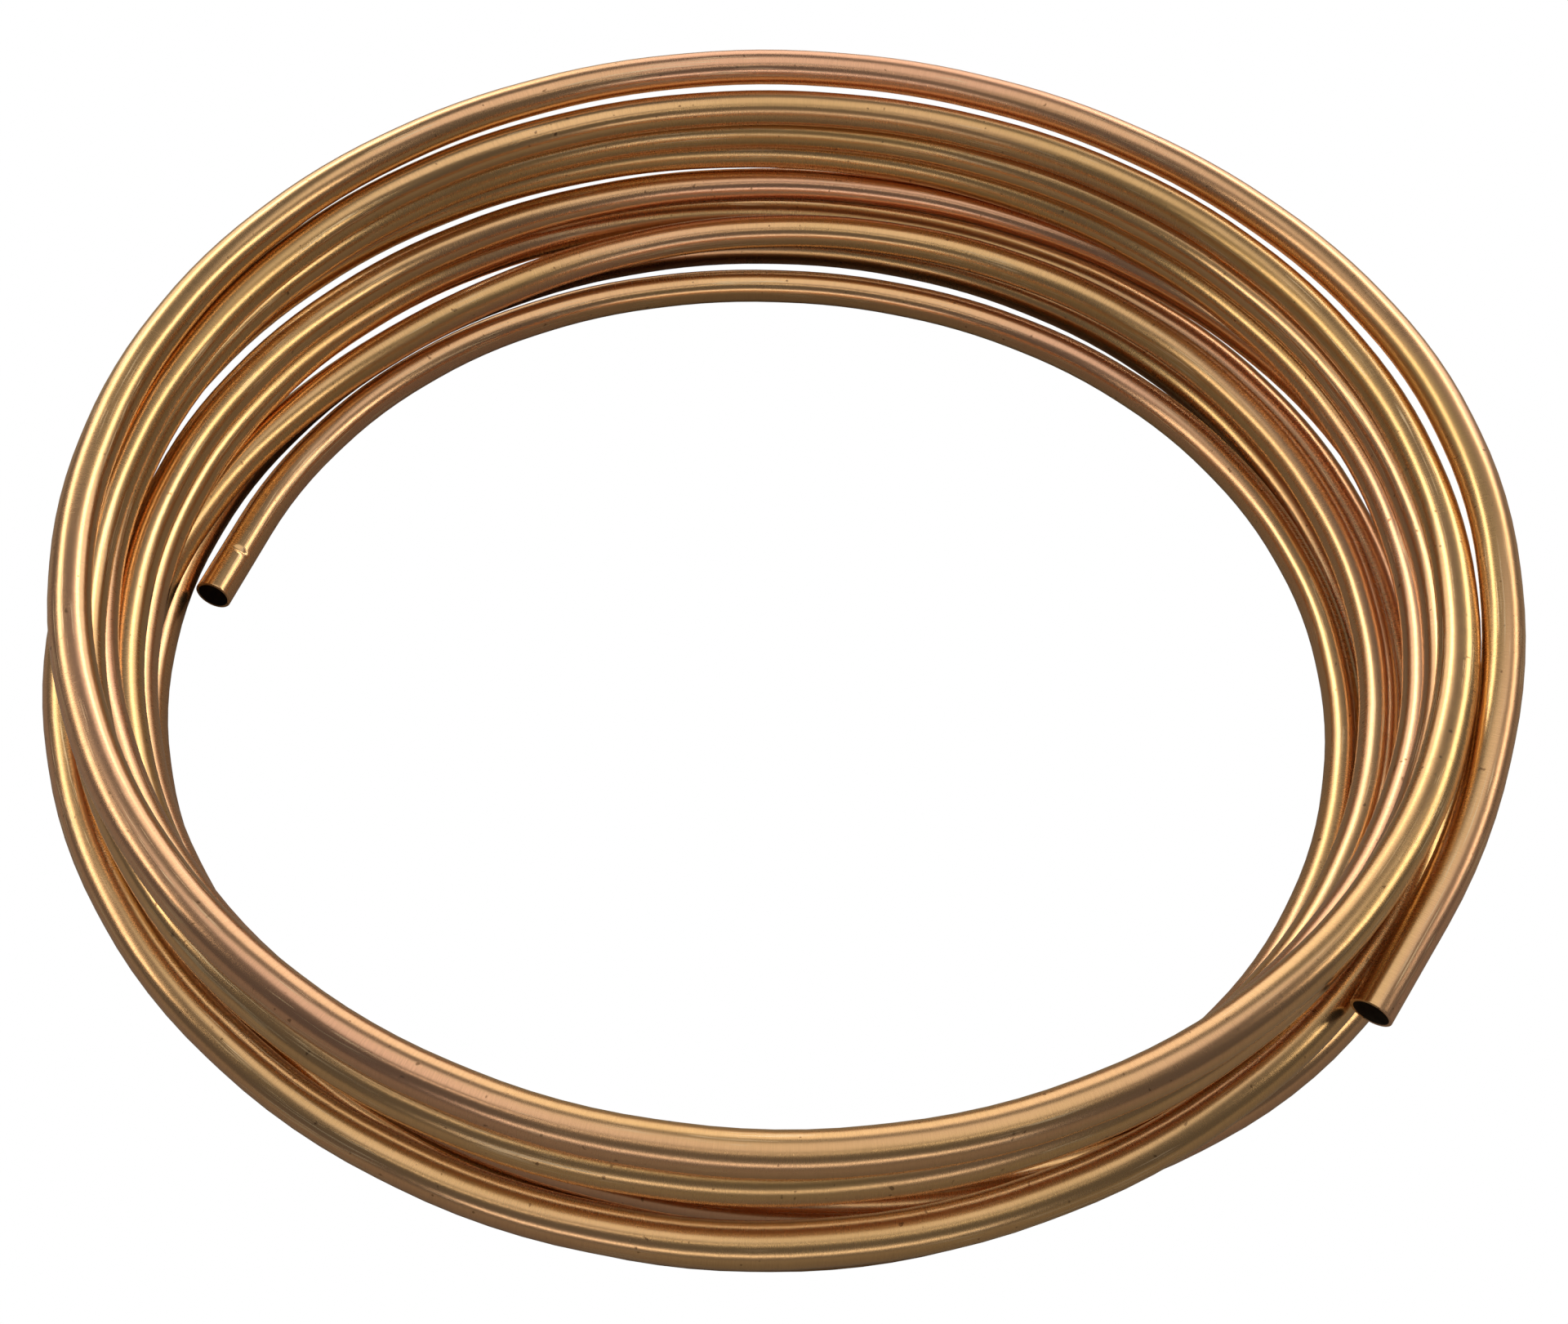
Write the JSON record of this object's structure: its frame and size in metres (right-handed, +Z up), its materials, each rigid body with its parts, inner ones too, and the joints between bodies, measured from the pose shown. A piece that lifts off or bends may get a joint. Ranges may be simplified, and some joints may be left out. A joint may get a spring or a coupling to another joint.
{
  "type": "immersion wort chiller",
  "caption": "Loose round coil of bare copper tube with plain open ends, set in hot wort with cold water running through it.",
  "frame": {"origin": "on the floor under the middle of the coil's outline", "axes": "+Z up along the coil's own axis, -Y the front, the inlet end at the right front, the outlet end at the left"},
  "size_m": [0.3709, 0.3756, 0.0744],
  "materials": {
    "copper": "soft drawn copper, dull satin with handling marks"
  },
  "bodies": {
    "root": {"inlet_end": "copper", "turn_01": "copper", "turn_02": "copper", "turn_03": "copper", "turn_04": "copper", "turn_05": "copper", "turn_06": "copper", "turn_07": "copper", "turn_08": "copper", "turn_09": "copper", "turn_10": "copper", "outlet_end": "copper"}
  },
  "joints": []
}
